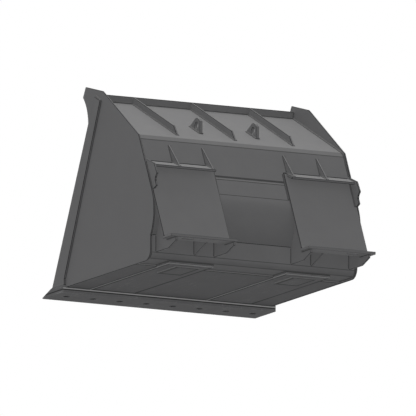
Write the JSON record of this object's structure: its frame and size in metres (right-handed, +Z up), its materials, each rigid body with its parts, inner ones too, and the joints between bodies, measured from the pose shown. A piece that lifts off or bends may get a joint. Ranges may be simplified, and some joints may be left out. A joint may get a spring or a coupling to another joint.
{
  "type": "light material bucket",
  "caption": "Welded loader bucket for light bulk material, with leaning quick-coupler plates, hooked flanges, lifting eyes, a two-layer cutting edge and wear strips.",
  "frame": {"origin": "the middle of the bucket's outline seen from above, at the height of the underside of the cutting edge", "axes": "+Z up, -Y forward out of the bucket's mouth, +Y rearward to the coupler side, +X to the operator's left as seen from the loader's seat looking forward"},
  "size_m": [1.2192, 1.3578, 1.024],
  "materials": {
    "painted_steel": "matte charcoal grey paint with a faint orange peel over welded steel plate",
    "wear_steel": "the same grey paint on the wear parts, scuffed on the edges that meet the ground"
  },
  "bodies": {
    "root": {"floor_sheet": "painted_steel", "heel_plate": "painted_steel", "lower_back_sheet": "painted_steel", "upper_back_sheet": "painted_steel", "top_lip_bar": "painted_steel", "side_plate_left": "painted_steel", "side_plate_right": "painted_steel", "side_cutter_left": "painted_steel", "side_cutter_right": "painted_steel", "base_edge": "painted_steel", "cutting_edge": "wear_steel", "top_gusset_left": "painted_steel", "top_gusset_centre": "painted_steel", "top_gusset_right": "painted_steel", "lifting_eye_left": "painted_steel", "lifting_eye_right": "painted_steel", "coupler_plate_left": "painted_steel", "coupler_plate_right": "painted_steel", "hook_flange_left": "painted_steel", "hook_flange_right": "painted_steel", "pin_flange_left": "painted_steel", "pin_flange_right": "painted_steel", "guide_ear_left": "painted_steel", "guide_ear_right": "painted_steel", "hook_gusset_outer_left": "painted_steel", "hook_gusset_inner_left": "painted_steel", "hook_gusset_outer_right": "painted_steel", "hook_gusset_inner_right": "painted_steel", "pin_gusset_outer_left": "painted_steel", "pin_gusset_middle_left": "painted_steel", "pin_gusset_inner_left": "painted_steel", "pin_gusset_outer_right": "painted_steel", "pin_gusset_middle_right": "painted_steel", "pin_gusset_inner_right": "painted_steel", "wear_plate_left": "wear_steel", "wear_plate_right": "wear_steel", "heel_pad_left": "wear_steel", "heel_pad_right": "wear_steel"}
  },
  "joints": []
}
